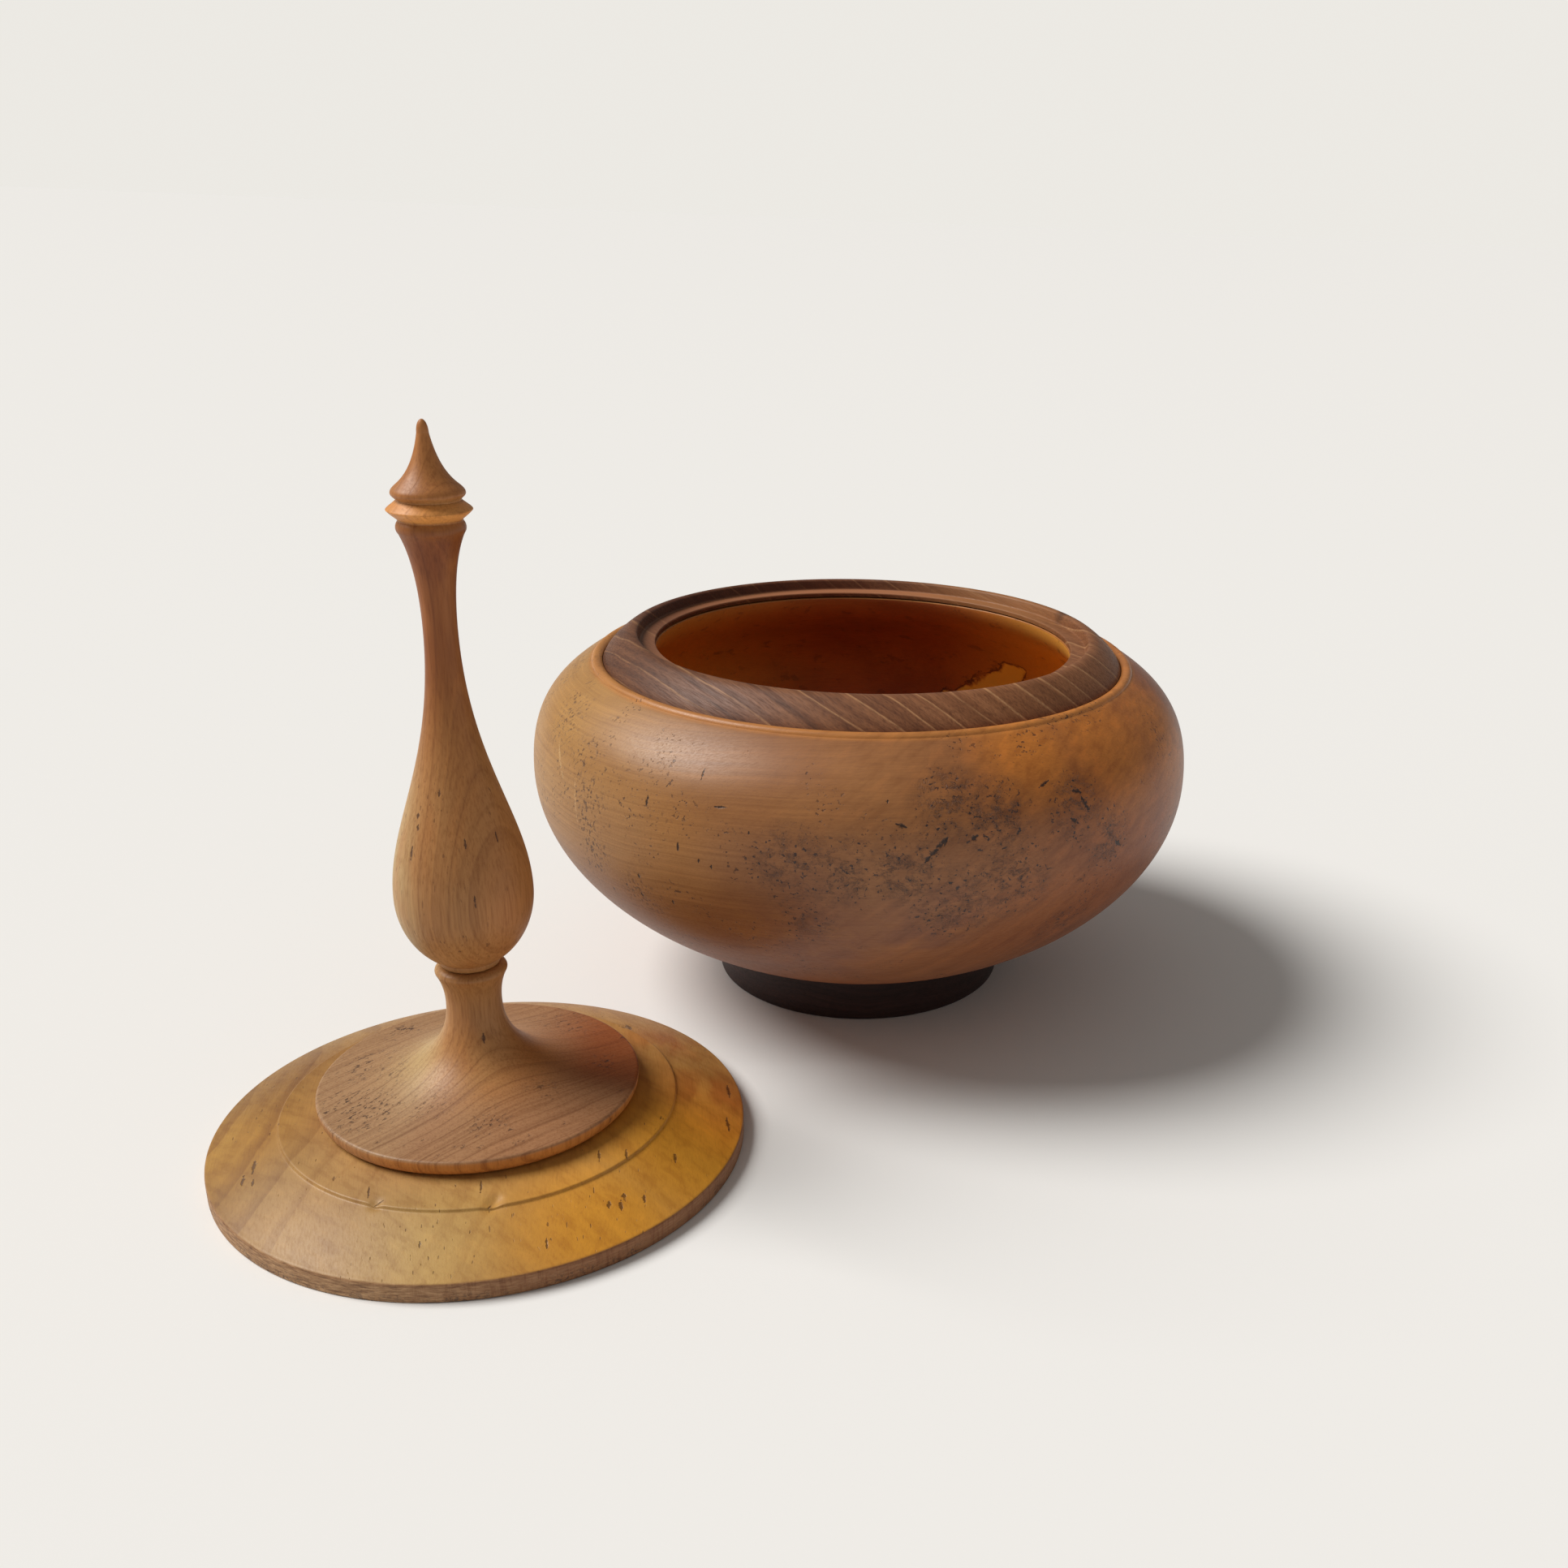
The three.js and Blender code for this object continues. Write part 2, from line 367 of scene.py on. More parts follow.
class Wood:
    """One wood material, and short names for the shader nodes that it is made of, in millimetres."""

    # Sockets of a mix node that mixes colours
    SHARE = 0
    FIRST_COLOUR = 6
    SECOND_COLOUR = 7
    MIXED_COLOUR = 2

    def __init__(self, name):
        self.material = bpy.data.materials.new(name)
        self.material.use_nodes = True
        self.nodes = self.material.node_tree.nodes
        self.links = self.material.node_tree.links
        self.nodes.clear()
        output = self.nodes.new("ShaderNodeOutputMaterial")
        self.surface = self.nodes.new("ShaderNodeBsdfPrincipled")
        self.links.new(self.surface.outputs["BSDF"], output.inputs["Surface"])
        coordinates = self.nodes.new("ShaderNodeTexCoord")
        self.point = self.vector_math("SCALE", coordinates.outputs["Object"], 1 / MM)
        self.across = self.part(self.point, 0)
        self.away = self.part(self.point, 1)
        self.height = self.part(self.point, 2)

    def plug(self, socket, value):
        if isinstance(value, bpy.types.NodeSocket):
            self.links.new(value, socket)
        else:
            socket.default_value = value

    def place(self, turn=0, tilt=(0, 0), size=(1, 1, 1), shift=(0, 0, 0)):
        """The point, turned about Z and tilted, then measured in units of size along each axis."""
        turned_point = self.nodes.new("ShaderNodeMapping")
        turned_point.inputs["Rotation"].default_value = [math.radians(angle) for angle in (*tilt, turn)]
        turned_point.inputs["Location"].default_value = shift
        self.links.new(self.point, turned_point.inputs["Vector"])
        return self.vector_math("DIVIDE", turned_point.outputs[0], size)

    def noise(self, vector, detail=3.0, rough=0.5, warp=0.0):
        node = self.nodes.new("ShaderNodeTexNoise")
        self.plug(node.inputs["Vector"], vector)
        self.plug(node.inputs["Scale"], 1.0)
        self.plug(node.inputs["Detail"], detail)
        self.plug(node.inputs["Roughness"], rough)
        self.plug(node.inputs["Distortion"], warp)
        return node.outputs[0]

    def math(self, operation, first, second=0.0):
        node = self.nodes.new("ShaderNodeMath")
        node.operation = operation
        self.plug(node.inputs[0], first)
        self.plug(node.inputs[1], second)
        return node.outputs[0]

    def times(self, *values):
        result = values[0]
        for value in values[1:]:
            result = self.math("MULTIPLY", result, value)
        return result

    def most(self, *values):
        result = values[0]
        for value in values[1:]:
            result = self.math("MAXIMUM", result, value)
        return result

    def between(self, value, low, high, start=0.0, end=1.0):
        """Rises smoothly from start to end as value goes from low to high. low may be above high."""
        node = self.nodes.new("ShaderNodeMapRange")
        node.interpolation_type = "SMOOTHSTEP"
        if low > high:
            low, high, start, end = high, low, end, start
        self.plug(node.inputs["Value"], value)
        self.plug(node.inputs["From Min"], low)
        self.plug(node.inputs["From Max"], high)
        self.plug(node.inputs["To Min"], start)
        self.plug(node.inputs["To Max"], end)
        return node.outputs[0]

    def part(self, vector, axis):
        node = self.nodes.new("ShaderNodeSeparateXYZ")
        self.links.new(vector, node.inputs[0])
        return node.outputs[axis]

    def mix(self, share, first, second, mode="MIX"):
        node = self.nodes.new("ShaderNodeMix")
        node.data_type = "RGBA"
        node.blend_type = mode
        self.plug(node.inputs[self.SHARE], share)
        self.plug(node.inputs[self.FIRST_COLOUR], first)
        self.plug(node.inputs[self.SECOND_COLOUR], second)
        return node.outputs[self.MIXED_COLOUR]

    def shade(self, share, colour, tint):
        """Multiplies a colour by a tint, by a share of it."""
        return self.mix(share, colour, (*tint, 1), "MULTIPLY")

    def tones(self, value, *stops):
        """A colour that runs through stops of (place, red, green, blue)."""
        node = self.nodes.new("ShaderNodeValToRGB")
        ramp = node.color_ramp
        while len(ramp.elements) < len(stops):
            ramp.elements.new(0.5)
        for element, (place, *colour) in zip(ramp.elements, stops):
            element.position = place
            element.color = linear(*colour)
        self.plug(node.inputs[0], value)
        return node.outputs[0]

    def vector_math(self, operation, first, second=None):
        node = self.nodes.new("ShaderNodeVectorMath")
        node.operation = operation
        self.plug(node.inputs[0], first)
        if second is not None:
            self.plug(node.inputs["Scale" if operation == "SCALE" else 1], second)
        gives_number = operation in ("DOT_PRODUCT", "LENGTH", "DISTANCE")
        return node.outputs["Value" if gives_number else "Vector"]

    def radius(self):
        """Distance from the turning axis."""
        return self.vector_math("LENGTH", self.vector_math("MULTIPLY", self.point, (1, 1, 0)))

    def grain(self, fibre, layer, size):
        """The point along the fibre, through the layers and along the third axis, in units of size."""
        join = self.nodes.new("ShaderNodeCombineXYZ")
        for socket, axis, unit in zip(join.inputs, (fibre, layer, fibre.cross(layer)), size):
            self.plug(socket, self.math("DIVIDE", self.vector_math("DOT_PRODUCT", self.point, axis), unit))
        return join.outputs[0]

    def level_vector(self, level, spacing):
        """A vector that changes with level, and very little round the piece."""
        drift = 0.02
        join = self.nodes.new("ShaderNodeCombineXYZ")
        self.plug(join.inputs[0], self.times(self.across, drift))
        self.plug(join.inputs[1], self.times(self.away, drift))
        self.plug(join.inputs[2], self.math("DIVIDE", level, spacing))
        return join.outputs[0]

    def patch(self, angle, radius, height, reach):
        """1 at a spot of a turned surface, fading to 0 at reach."""
        gap = self.vector_math("DISTANCE", self.point, spot(angle, radius, height))
        return self.between(gap, reach, 0.15 * reach)

    def patches(self, places):
        """The strongest of several patches. A weak one has its strength as a fifth value."""
        return self.most(*(self.times(self.patch(*place[:4]), *place[4:]) for place in places))

    def tick(self, angle, radius, length, width):
        """1 along a short mark on the lid, in its fibre's direction. Its height doesn't matter."""
        half = spot(LID_FIBRE, length / 2, 0)
        middle = spot(angle, radius, 0)
        return self.mark(middle - half, middle + half, width, flatten=(1, 1, 0))

    def from_line(self, start, end, flatten=(1, 1, 1)):
        """Distance from the line between two points, and the share of the way along it."""
        along = end - start
        offset = self.vector_math("MULTIPLY", self.vector_math("SUBTRACT", self.point, start), flatten)
        share = self.math("DIVIDE", self.vector_math("DOT_PRODUCT", offset, along), along.length_squared)
        share = self.math("MINIMUM", self.math("MAXIMUM", share, 0.0), 1.0)
        gap = self.vector_math("SUBTRACT", offset, self.vector_math("SCALE", along, share))
        return self.vector_math("LENGTH", gap), share

    def mark(self, start, end, width, ragged=0.6, flatten=(1, 1, 1)):
        """1 along a thin line between two points, with ragged sides and thinner ends."""
        gap, share = self.from_line(start, end, flatten)
        wobble = self.noise(self.place(size=(0.5, 0.5, 0.5)), detail=2)
        gap = self.math("ADD", gap, self.times(self.math("SUBTRACT", wobble, 0.5), ragged * 3 * width))
        from_middle = self.math("ABSOLUTE", self.math("SUBTRACT", share, 0.5))
        thickness = self.between(from_middle, 0.5, 0.1, 0.35, 1.0)
        return self.between(self.math("DIVIDE", gap, thickness), width, 0.25 * width)

    def finish(self, colour, roughness, relief, depth, specular=0.5):
        """Ends the material: colour, roughness and a relief of that depth."""
        self.plug(self.surface.inputs["Base Color"], colour)
        self.plug(self.surface.inputs["Roughness"], roughness)
        self.surface.inputs["Specular IOR Level"].default_value = specular
        bump = self.nodes.new("ShaderNodeBump")
        bump.inputs["Strength"].default_value = 1.0
        bump.inputs["Distance"].default_value = depth * MM
        self.plug(bump.inputs["Height"], relief)
        self.links.new(bump.outputs[0], self.surface.inputs["Normal"])
        return self.material


def through_layer(wood, coordinate, spacing):
    """How far through its growth layer a point is, from 0 to 1."""
    return wood.math("FRACT", wood.math("DIVIDE", coordinate, spacing))


def growth_lines(wood, through, softness):
    """Late-wood lines: 0 between them and 1 on them, each rising slowly and ending sharply."""
    line_end = 0.96
    rise = wood.between(through, 1 - softness, line_end)
    fall = wood.between(through, 1.0, line_end)
    return wood.times(rise, fall)


# Places on the bowl: angle, radius, height, reach and, for a weak one, its strength
ORANGE_PLACES = [(-57, 63, 70, 17), (-38, 64, 68, 24), (-20, 66, 66, 22)]
YELLOW_PLACES = [(-152, 66, 66, 24), (-170, 68, 62, 24)]
DUSTY_PLACES = [(-96, 66, 34, 26), (-76, 68, 38, 20)]
PIT_COLUMNS = [
    (-134.4, 71.1, 56.5, 6), (-134.6, 71.4, 51.2, 6), (-133.2, 71.2, 46.0, 6),
    (-134.8, 70.1, 42.1, 5), (-149.5, 67, 65.5, 10, 0.6), (-138.6, 69, 63, 7, 0.6),
    (-124, 69, 39, 9, 0.7),
]
SPALTED_PLACES = [
    (-73, 68.5, 63.5, 10), (-66, 69.8, 60.5, 11), (-51, 70.2, 60, 10), (-44, 71, 52, 9),
    (-97, 71.4, 52, 11, 0.9), (-89, 71.5, 51.5, 10, 0.9), (-80, 71.5, 52, 10),
    (-95, 69, 40, 9, 0.6), (-63, 71.4, 48, 12), (-49, 65, 33, 10, 0.6), (-72, 71, 44, 13, 0.7),
    (40, 70, 56, 16, 0.8), (128, 71, 50, 18, 0.7), (165, 70, 40, 14, 0.6),
]

# Cracks of the bowl, between two spots of (angle, height), with their width
CRACKS = [
    ((-77.2, 53.4), (-76.5, 54.7), 0.6), ((-76.6, 54.6), (-75.3, 55.9), 0.7),
    ((-75.6, 56.2), (-74.6, 56.7), 0.55), ((-74.9, 56.6), (-73.8, 57.9), 0.6),
    ((-74.4, 56.4), (-73.9, 57.6), 0.4), ((-70.2, 57.0), (-69.3, 57.7), 0.7),
    ((-51.8, 62.9), (-49.8, 62.3), 0.6), ((-50.0, 61.5), (-48.9, 58.9), 0.6),
    ((-52.6, 58.0), (-51.2, 56.9), 0.5), ((-57.6, 64.5), (-55.6, 65.3), 0.4),
    ((-42.6, 50.8), (-41.2, 49.4), 0.7), ((-81.6, 60.6), (-80.0, 60.0), 0.5),
    ((-109.4, 61.2), (-107.4, 61.4), 0.3), ((-69.4, 20.9), (-68.2, 21.3), 0.5),
]

# Short upright dashes of the bowl: angle, height of the middle, length, width
DASHES = [
    (-121.4, 59.6, 2.0, 0.42), (-112.6, 66.0, 1.8, 0.26), (-115.1, 52.5, 1.5, 0.34),
    (-111.5, 50.6, 0.6, 0.46), (-109.4, 49.9, 0.5, 0.34), (-103.5, 57.5, 0.4, 0.36),
    (-82.8, 64.3, 0.4, 0.4), (-123.5, 43.9, 1.0, 0.42), (-124.2, 39.1, 0.8, 0.42),
    (-127.2, 40.4, 0.6, 0.36), (-117.6, 39.8, 0.9, 0.40), (-132.1, 37.2, 0.6, 0.42),
    (-33.3, 48.4, 0.5, 0.4),
]


def bowl_tones_and_shade(wood):
    """Tan on the left, red-brown on the right and low down, which is partly painted shade, and orange at the
    upper right.
    """
    broad = wood.noise(wood.place(size=(34, 34, 20)), detail=2)
    cloud = wood.noise(wood.place(size=(11, 11, 7)), detail=4, rough=0.6)
    colour = wood.tones(broad, (0.30, 146, 95, 55), (0.50, 156, 104, 61), (0.70, 164, 112, 65))
    # Partly painted shade: red-brown on the right and low down, where the bowl is shaded, against a paler tan
    # on the lit left
    colour = wood.mix(wood.between(wood.across, -8, -58, 0, 0.9), colour, linear(168, 124, 70))
    colour = wood.mix(wood.between(wood.across, 8, 60, 0, 0.85), colour, linear(140, 74, 34))
    colour = wood.mix(wood.between(wood.height, 50, 28, 0, 0.65), colour, linear(132, 73, 37))
    colour = wood.mix(wood.between(wood.height, 26, 15, 0, 0.6), colour, linear(164, 96, 56))
    colour = wood.mix(wood.times(wood.patches(ORANGE_PLACES), 0.8), colour, linear(194, 118, 42))
    colour = wood.mix(wood.times(wood.patches(YELLOW_PLACES), 0.55), colour, linear(176, 130, 66))
    # Painted highlight: a lighter orange line along the bead under the ring
    bead = wood.times(wood.between(wood.height, 72.4, 73.0), 0.6)
    colour = wood.mix(bead, colour, linear(196, 128, 62))
    dust = wood.times(wood.patches(DUSTY_PLACES), wood.between(cloud, 0.34, 0.6), 0.6)
    colour = wood.mix(dust, colour, linear(122, 76, 56))
    return wood.shade(wood.between(cloud, 0.46, 0.74, 0, 0.5), colour, (0.84, 0.78, 0.74))


def bowl_layers(wood, colour):
    """Adds close, nearly level growth layers, clearest on the left."""
    wave = wood.noise(wood.place(size=(30, 30, 30)), detail=1)
    level = wood.math("ADD", wood.height, wood.times(wood.across, -0.05))
    level = wood.math("ADD", level, wood.times(wave, 2.6))
    layers = wood.noise(wood.level_vector(level, 0.62), detail=3, rough=0.8)
    on_left = wood.between(wood.across, 22, -30, 0.22, 1.0)
    darker = wood.times(wood.between(layers, 0.47, 0.68), on_left, 0.62)
    colour = wood.shade(darker, colour, (0.74, 0.68, 0.62))
    lighter = wood.times(wood.between(layers, 0.47, 0.32), on_left, 0.6)
    return wood.shade(lighter, colour, (1.22, 1.22, 1.2)), layers


def bowl_shimmer(wood, colour, fibres):
    """Adds slanting bands of turned fibre on the front and right, their shimmer painted as lighter and darker
    sheen, and fine fibres everywhere.
    """
    slant = wood.noise(wood.place(turn=20, tilt=(0, 38), size=(30, 5, 1.7)), detail=3, rough=0.6)
    on_right = wood.between(wood.across, -22, 30, 0.15, 1.0)
    # Painted sheen: lighter and darker slanting bands stand for the fibre's shimmer
    colour = wood.shade(wood.times(wood.between(slant, 0.5, 0.66), on_right, 0.8), colour, (1.22, 1.18, 1.12))
    colour = wood.shade(wood.times(wood.between(slant, 0.5, 0.34), on_right, 0.8), colour, (0.80, 0.74, 0.68))
    return wood.shade(wood.between(fibres, 0.44, 0.72, 0, 0.55), colour, (0.78, 0.72, 0.68))


def bowl_pits(wood, pits):
    """Fine dark pits of end grain: columns of them on the left, and a few everywhere."""
    gather = wood.noise(wood.place(size=(9, 9, 20), shift=(0, 3, 0)), detail=2)
    on_left = wood.times(wood.between(wood.across, -24, -46), wood.between(gather, 0.5, 0.62), 0.9)
    scatter = wood.noise(wood.place(size=(13, 13, 10), shift=(40, 7, 3)), detail=2)
    area = wood.most(on_left, wood.times(wood.between(scatter, 0.52, 0.64), 0.85))
    pit = wood.times(wood.between(pits, 0.615, 0.66), area)
    return wood.most(pit, wood.times(wood.between(pits, 0.55, 0.60), wood.patches(PIT_COLUMNS), 0.9))


def bowl_spalting(wood, colour, pits):
    """Adds blue-grey clouds with dark squiggles, in clusters on the right of the front."""
    clusters = wood.patches(SPALTED_PLACES)
    drift = wood.noise(wood.place(turn=25, size=(3.6, 3.6, 2.4)), detail=5, rough=0.7, warp=0.4)
    mottled = wood.noise(wood.place(size=(1.0, 1.0, 0.8)), detail=3, rough=0.7, warp=0.6)
    cloudy = wood.times(clusters, wood.between(drift, 0.38, 0.62))
    colour = wood.mix(wood.times(cloudy, 0.4), colour, linear(92, 56, 38))
    blots = wood.times(clusters, wood.between(drift, 0.42, 0.56), wood.between(mottled, 0.53, 0.60))
    colour = wood.mix(wood.times(blots, 0.58), colour, linear(54, 43, 44))
    flecks = wood.times(wood.between(pits, 0.62, 0.66), wood.between(clusters, 0.05, 0.4))
    colour = wood.mix(wood.times(flecks, 0.85), colour, linear(44, 34, 36))
    ridge = wood.math("ABSOLUTE", wood.math("SUBTRACT", mottled, 0.5))
    squiggles = wood.times(clusters, wood.between(ridge, 0.022, 0.006), wood.between(drift, 0.44, 0.52))
    return wood.mix(wood.times(squiggles, 0.85), colour, linear(38, 28, 28)), blots


def bowl_cracks(wood, outline):
    marks = [wood.mark(outline.at(*first), outline.at(*last), width) for first, last, width in CRACKS]
    for angle, middle, length, width in DASHES:
        low = outline.at(angle, middle - length / 2)
        high = outline.at(angle, middle + length / 2)
        marks.append(wood.mark(low, high, width))
    return wood.most(*marks)


def bowl_outside(outline):
    wood = Wood("spalted_maple_wood")
    fibres = wood.noise(wood.place(turn=-12, size=(6, 0.3, 0.3)), detail=3, rough=0.65)
    pits = wood.noise(wood.place(turn=-12, size=(0.85, 0.7, 0.8)), detail=2, rough=0.6)
    colour = bowl_tones_and_shade(wood)
    colour, layers = bowl_layers(wood, colour)
    colour = bowl_shimmer(wood, colour, fibres)
    pit = bowl_pits(wood, pits)
    colour = wood.mix(wood.times(pit, 0.85), colour, linear(56, 32, 24))
    colour, blots = bowl_spalting(wood, colour, pits)
    cracks = bowl_cracks(wood, outline)
    colour = wood.mix(wood.times(cracks, 0.9), colour, linear(26, 16, 18))

    # Two pale streaks on the far left
    pale = wood.most(
        wood.mark(outline.at(-147.6, 62.5), outline.at(-143.1, 57.2), 0.5),
        wood.mark(outline.at(-138.9, 57.8), outline.at(-137.9, 50.2), 0.45),
    )
    colour = wood.mix(wood.times(pale, 0.4), colour, linear(216, 180, 128))

    roughness = wood.between(fibres, 0.3, 0.7, 0.38, 0.48)
    relief = wood.math("ADD", wood.times(fibres, 0.3), wood.times(layers, 0.12))
    relief = wood.math("SUBTRACT", relief, wood.times(wood.most(pit, cracks, blots), 1.2))
    return wood.finish(colour, roughness, relief, 0.05, specular=0.42)


def bowl_inside(outline):
    wood = Wood("bowl_inside_wood")
    broad = wood.noise(wood.place(size=(22, 22, 16)), detail=4, rough=0.6)
    fibres = wood.noise(wood.place(turn=-12, size=(9, 0.4, 0.4)), detail=4, rough=0.65)
    colour = wood.tones(broad, (0.30, 140, 68, 32), (0.50, 158, 82, 38), (0.72, 174, 94, 42))
    # Painted light: the inner walls brighter orange towards the sides, most on the right, where light falls
    # inside the bowl
    sides = wood.between(wood.math("ABSOLUTE", wood.across), 12, 58)
    sides = wood.times(sides, wood.between(wood.across, -34, 0, 0.6, 0.85))
    colour = wood.mix(sides, colour, linear(238, 172, 68))
    colour = wood.shade(wood.between(fibres, 0.45, 0.75, 0, 0.5), colour, (0.78, 0.66, 0.6))
    spots = wood.noise(wood.place(size=(4.5, 4.5, 3)), detail=4, rough=0.65)
    colour = wood.mix(wood.between(spots, 0.58, 0.68, 0, 0.4), colour, linear(74, 36, 20))

    # A pale patch with a dark zone line round it
    wander = wood.noise(wood.place(size=(3.4, 3.4, 3.4)), detail=3, rough=0.55)
    gap = wood.from_line(outline.at(72, 44, inside=True), outline.at(57, 54.5, inside=True))[0]
    gap = wood.math("ADD", gap, wood.times(wood.math("SUBTRACT", wander, 0.5), 6.0))
    patch_tone = wood.mix(wood.between(broad, 0.40, 0.60), linear(255, 228, 120), linear(246, 194, 80))
    colour = wood.mix(wood.between(gap, 3.6, 2.4), colour, patch_tone)
    zone_line = wood.times(wood.between(gap, 3.2, 3.5), wood.between(gap, 4.2, 3.9))
    zone_line = wood.times(zone_line, wood.between(spots, 0.40, 0.52, 0.35, 1.0))
    colour = wood.mix(wood.times(zone_line, 0.7), colour, linear(60, 26, 14))
    roughness = wood.between(fibres, 0.3, 0.7, 0.42, 0.54)
    return wood.finish(colour, roughness, fibres, 0.04)


def ring_figure(wood):
    """Leaning growth layers, each ending in a pale line with a dark band past it, and the fine grain."""
    fibre = Vector((0.72, -0.67, -0.18)).normalized()
    layer = Vector((0.54, 0.37, 0.76)).normalized()
    wander = wood.noise(wood.grain(fibre, layer, (34, 12, 30)), detail=2)
    depth = wood.vector_math("DOT_PRODUCT", wood.point, layer)
    depth = wood.math("ADD", depth, wood.times(wander, 4.0))
    stripes = wood.noise(wood.level_vector(depth, 2.3), detail=4, rough=0.65)
    fine = wood.noise(wood.grain(fibre, layer, (4.5, 0.34, 0.5)), detail=3, rough=0.65)
    colour = wood.tones(
        stripes,
        (0.32, 92, 58, 41),
        (0.46, 118, 78, 56),
        (0.58, 136, 94, 69),
        (0.70, 104, 67, 47),
    )
    colour = wood.mix(wood.times(wood.between(wood.across, 8, 42), 0.5), colour, linear(146, 98, 64))
    through = through_layer(wood, depth, spacing=4.3)
    lines = growth_lines(wood, through, softness=0.14)
    past_line = wood.times(wood.between(through, 0.0, 0.02), wood.between(through, 0.34, 0.04))
    clear = wood.between(stripes, 0.34, 0.52)
    colour = wood.shade(wood.times(past_line, clear, 0.7), colour, (0.74, 0.68, 0.64))
    colour = wood.mix(wood.times(lines, clear, 0.75), colour, linear(178, 138, 104))
    colour = wood.shade(wood.between(fine, 0.46, 0.68, 0, 0.85), colour, (0.60, 0.54, 0.52))
    return wood.shade(wood.between(fine, 0.46, 0.32, 0, 0.6), colour, (1.25, 1.24, 1.22)), fine


def rim_walnut():
    wood = Wood("walnut_wood")
    colour, fine = ring_figure(wood)
    back = wood.patches([(112, 50, 76, 34), (150, 48, 77, 30)])
    colour = wood.mix(wood.times(back, 0.75), colour, linear(92, 46, 26))

    # The ledge is painted paler, as painted light on its upward face, but not on the right or at the far left
    ledge = wood.times(wood.between(wood.radius(), 48.3, 48.0), wood.between(wood.height, 76.0, 76.3))
    shown = wood.between(wood.across, 32, 12, 0, 0.8)
    shown = wood.times(shown, wood.between(wood.across, -47, -38, 0.4, 1.0))
    colour = wood.mix(wood.times(ledge, shown), colour, linear(176, 122, 92))

    pale = wood.patch(52, 50, 76, 34)
    colour = wood.mix(wood.times(pale, 0.6), colour, linear(160, 112, 70))
    knot = wood.patch(26, 50, 78, 3.2)
    colour = wood.mix(wood.times(knot, 0.7), colour, linear(48, 30, 24))
    colour = wood.shade(1.0, colour, (0.95, 0.87, 0.73))
    colour = wood.shade(wood.between(wood.across, -14, -44), colour, (0.72, 0.70, 0.68))
    colour = wood.shade(wood.patch(-66, 53, 76, 24), colour, (1.25, 1.28, 1.3))
    roughness = wood.between(fine, 0.3, 0.7, 0.46, 0.58)
    return wood.finish(colour, roughness, wood.math("SUBTRACT", 1.0, fine), 0.06, specular=0.3)


def foot_walnut():
    wood = Wood("dark_walnut_wood")
    wave = wood.noise(wood.place(size=(18, 18, 18)))
    level = wood.math("ADD", wood.height, wood.times(wave, 5.0))
    layers = wood.noise(wood.level_vector(level, 1.1), detail=3, rough=0.6)
    fine = wood.noise(wood.place(turn=-12, size=(8, 0.4, 0.4)), detail=4, rough=0.65)
    colour = wood.tones(layers, (0.34, 42, 27, 24), (0.55, 58, 38, 35), (0.72, 72, 49, 44))
    colour = wood.shade(wood.between(fine, 0.46, 0.72, 0, 0.8), colour, (0.55, 0.5, 0.5))
    colour = wood.shade(1.0, colour, (0.84, 0.72, 0.70))
    roughness = wood.between(fine, 0.3, 0.7, 0.44, 0.54)
    return wood.finish(colour, roughness, fine, 0.05, specular=0.4)


# Places on the lid's disc: angle, radius, height, reach and, for a weak one, its strength
CREAM_PLACES = [(-102, 42, 5, 30), (-130, 36, 8, 18, 0.7)]
GOLD_PLACES = [(-14, 42, 5, 32), (-48, 44, 4, 24), (-162, 44, 4, 20, 0.3)]
BURNT_PLACES = [(14, 42, 6, 17), (40, 38, 7, 14)]

# Direction of the lid's fibre, and short marks along it: angle, radius, length, width
LID_FIBRE = 104
LID_TICKS = [
    (-146.6, 40.0, 3.4, 0.5), (-143.8, 42.3, 2.4, 0.4), (-140.8, 41.2, 1.6, 0.3),
    (-107.5, 33.0, 2.8, 0.22), (-74.4, 30.4, 2.8, 0.24), (-35.9, 31.6, 3.0, 0.3),
    (-29.4, 34.4, 2.2, 0.34), (-20.1, 40.4, 2.6, 0.4), (-44.1, 40.8, 1.4, 0.5),
    (-41.8, 41.9, 1.8, 0.55), (-39.6, 40.6, 1.0, 0.5), (-36.0, 42.8, 1.4, 0.4),
    (-61.0, 43.6, 1.8, 0.26), (-88.0, 41.2, 1.0, 0.3), (1.0, 45.2, 4.0, 0.45),
    (16.0, 45.4, 4.6, 0.45),
]


def lid_tones(wood):
    """Tan, cream at the front left, yellow at the front right, brown and burnt orange at the back, and
    painted light at the far right where the finial's shadow falls.
    """
    broad = wood.noise(wood.place(size=(20, 24, 20)), detail=2)
    colour = wood.tones(broad, (0.32, 166, 118, 62), (0.52, 180, 133, 72), (0.72, 188, 142, 78))
    colour = wood.mix(wood.times(wood.patches(CREAM_PLACES), 0.7), colour, linear(174, 138, 88))
    colour = wood.mix(wood.times(wood.patches(GOLD_PLACES), 0.85), colour, linear(216, 148, 38))
    uneven = wood.between(wood.noise(wood.place(size=(7, 12, 7)), detail=3), 0.36, 0.58)
    burnt = wood.times(wood.patches(BURNT_PLACES), uneven)
    colour = wood.mix(wood.times(burnt, 0.6), colour, linear(158, 84, 30))
    brown = wood.times(wood.patch(165, 38, 7, 22), wood.between(broad, 0.36, 0.56))
    colour = wood.mix(wood.times(brown, 0.5), colour, linear(146, 92, 46))
    colour = wood.shade(wood.between(wood.across, -14, -42), colour, (0.74, 0.77, 0.66))
    colour = wood.shade(wood.patch(-84, 42, 5, 19), colour, (1.16, 1.25, 1.12))
    # Painted light: the far right of the disc lightened where the finial's shadow falls
    return wood.shade(wood.patch(4, 44, 5, 17), colour, (1.4, 1.25, 1.3))


